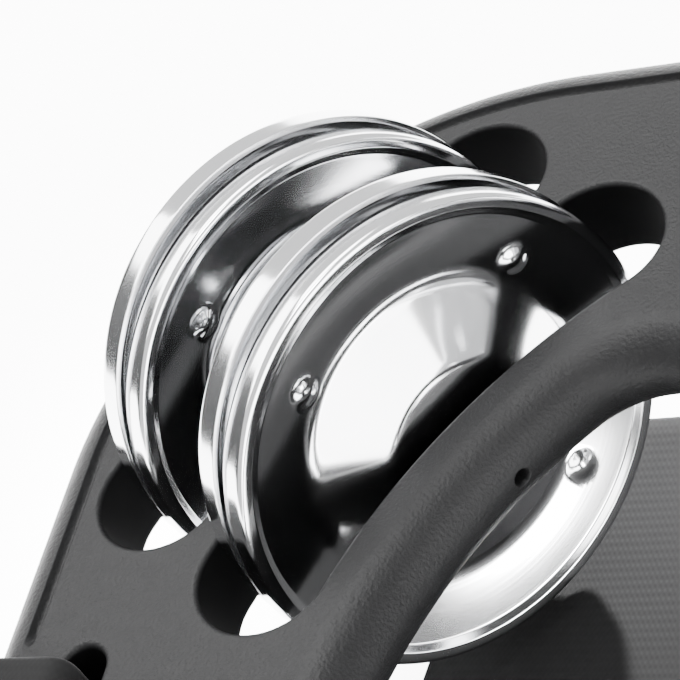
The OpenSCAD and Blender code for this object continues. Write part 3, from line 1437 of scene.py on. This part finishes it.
@dataclass
class Studio:
    """Floor, lights, a dark card and the camera."""

    floor_height: float = -28.6
    floor_size: tuple[float, float] = (12000.0, 12000.0)
    card_at: tuple[float, float, float] = (-400.0, 20.0, 60.0)
    card_size: tuple[float, float] = (420.0, 170.0)
    camera_at: tuple[float, float, float] = (89.7, -128.6, 182.4)
    forward: tuple[float, float, float] = (-0.4703, 0.5771, -0.6677)
    right: tuple[float, float, float] = (0.8788, 0.2371, -0.4140)
    focal_pixels: float = 2568.0
    frame_pixels: float = 680.0
    sensor: float = 36.0
    clip: tuple[float, float] = (0.005, 50.0)
    sky: float = 1.35
    lamps: tuple[Lamp, ...] = (
        Lamp("key", (-250, 350, 700), (500, 500), 11.0),
        Lamp("top", (40, -60, 760), (300, 300), 6.0),
        Lamp("front", (616, -496, 190), (1000, 480), 15.0),
        Lamp("back", (-760, 200, 330), (520, 300), 5.0),
        Lamp("fill", (22, -12, -15), (34, 20), 0.004, (-25, 8, -15), 36.0),
        Lamp("toe", (-10, 420, 112), (170, 14), 0.17, (-14, 26, -28), 6.0),
    )

    @staticmethod
    def plate(name: str, size: Sequence[float], turn: np.ndarray, at: Sequence[float]) -> bpy.types.Object:
        """Makes a flat rectangle that belongs to the studio.

        Args:
            name: its name.
            size: its width and height.
            turn: three by three matrix that turns it from lying flat.
            at: its centre.

        Returns:
            The object.
        """
        flat = np.array([(-1, -1, 0), (1, -1, 0), (1, 1, 0), (-1, 1, 0)]) / 2
        points = (flat * np.array([*size, 0.0])) @ turn.T + np.array(at)
        plate = Surface(points, np.array([[0, 1, 2, 3]])).mesh(name)
        return plate

    def floor(self, finish: FloorFinish) -> None:
        """Lays the floor.

        Args:
            finish: its surface.
        """
        floor = self.plate("studio_floor", self.floor_size, np.eye(3), (0.0, 0.0, self.floor_height))
        floor.data.materials.append(finish.material())

    def card(self, finish: CardFinish) -> None:
        """Stands a dark card for the steel to reflect, facing the origin.

        Args:
            finish: its surface.
        """
        turn = np.array((-Vector(self.card_at)).to_track_quat("-Z", "Y").to_matrix())
        card = self.plate("left_flag", self.card_size, turn, self.card_at)
        card.data.materials.append(finish.material())
        card.visible_camera = False
        card.visible_shadow = False

    def world(self) -> None:
        """Lights the room evenly."""
        world = bpy.data.worlds.new("studio")
        bpy.context.scene.world = world
        world.use_nodes = True
        back = world.node_tree.nodes["Background"]
        back.inputs["Color"].default_value = (1.0, 1.0, 1.0, 1.0)
        back.inputs["Strength"].default_value = self.sky

    def camera(self) -> None:
        """Sets the camera at the photograph's angle."""
        data = bpy.data.cameras.new("camera")
        data.sensor_width = self.sensor
        data.lens = self.focal_pixels / self.frame_pixels * self.sensor
        data.clip_start, data.clip_end = self.clip
        camera = bpy.data.objects.new("camera", data)
        ahead = Vector(self.forward).normalized()
        right = Vector(self.right)
        right = (right - ahead * right.dot(ahead)).normalized()
        up = right.cross(ahead)
        turn = Matrix((right, up, -ahead)).transposed().to_4x4()
        camera.matrix_world = Matrix.Translation(Vector(self.camera_at) * MM) @ turn
        bpy.context.scene.collection.objects.link(camera)
        bpy.context.scene.camera = camera

    def build(self) -> None:
        """Sets up the whole studio."""
        self.floor(FloorFinish())
        self.world()
        for lamp in self.lamps:
            lamp.hang()
        self.card(CardFinish())
        self.camera()


def main() -> None:
    """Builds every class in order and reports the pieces."""
    logging.basicConfig(level=logging.INFO, format="%(name)s: %(message)s")
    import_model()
    ring = Ring()
    made = [ring.build(PlasticFinish())]
    pin_steel = SteelFinish(name="pin_steel", roughness=0.14).material()
    disc_steel = SteelFinish().material()
    for station in ring.stations:
        made.append(Pin(station).build(pin_steel))
        for slot, reach in zip(("inner", "outer"), ring.slot_reaches):
            for letter, way in (("a", Way.INWARD), ("b", Way.OUTWARD)):
                made.append(Jingle(station, slot, letter, reach, way).build(disc_steel))
    made += Strap().build(WebbingFinish(), ThreadFinish())
    Studio().build()
    for piece in made:
        LOG.info("%s: %d faces", piece.name, len(piece.data.polygons))


if __name__ == "__main__":
    main()
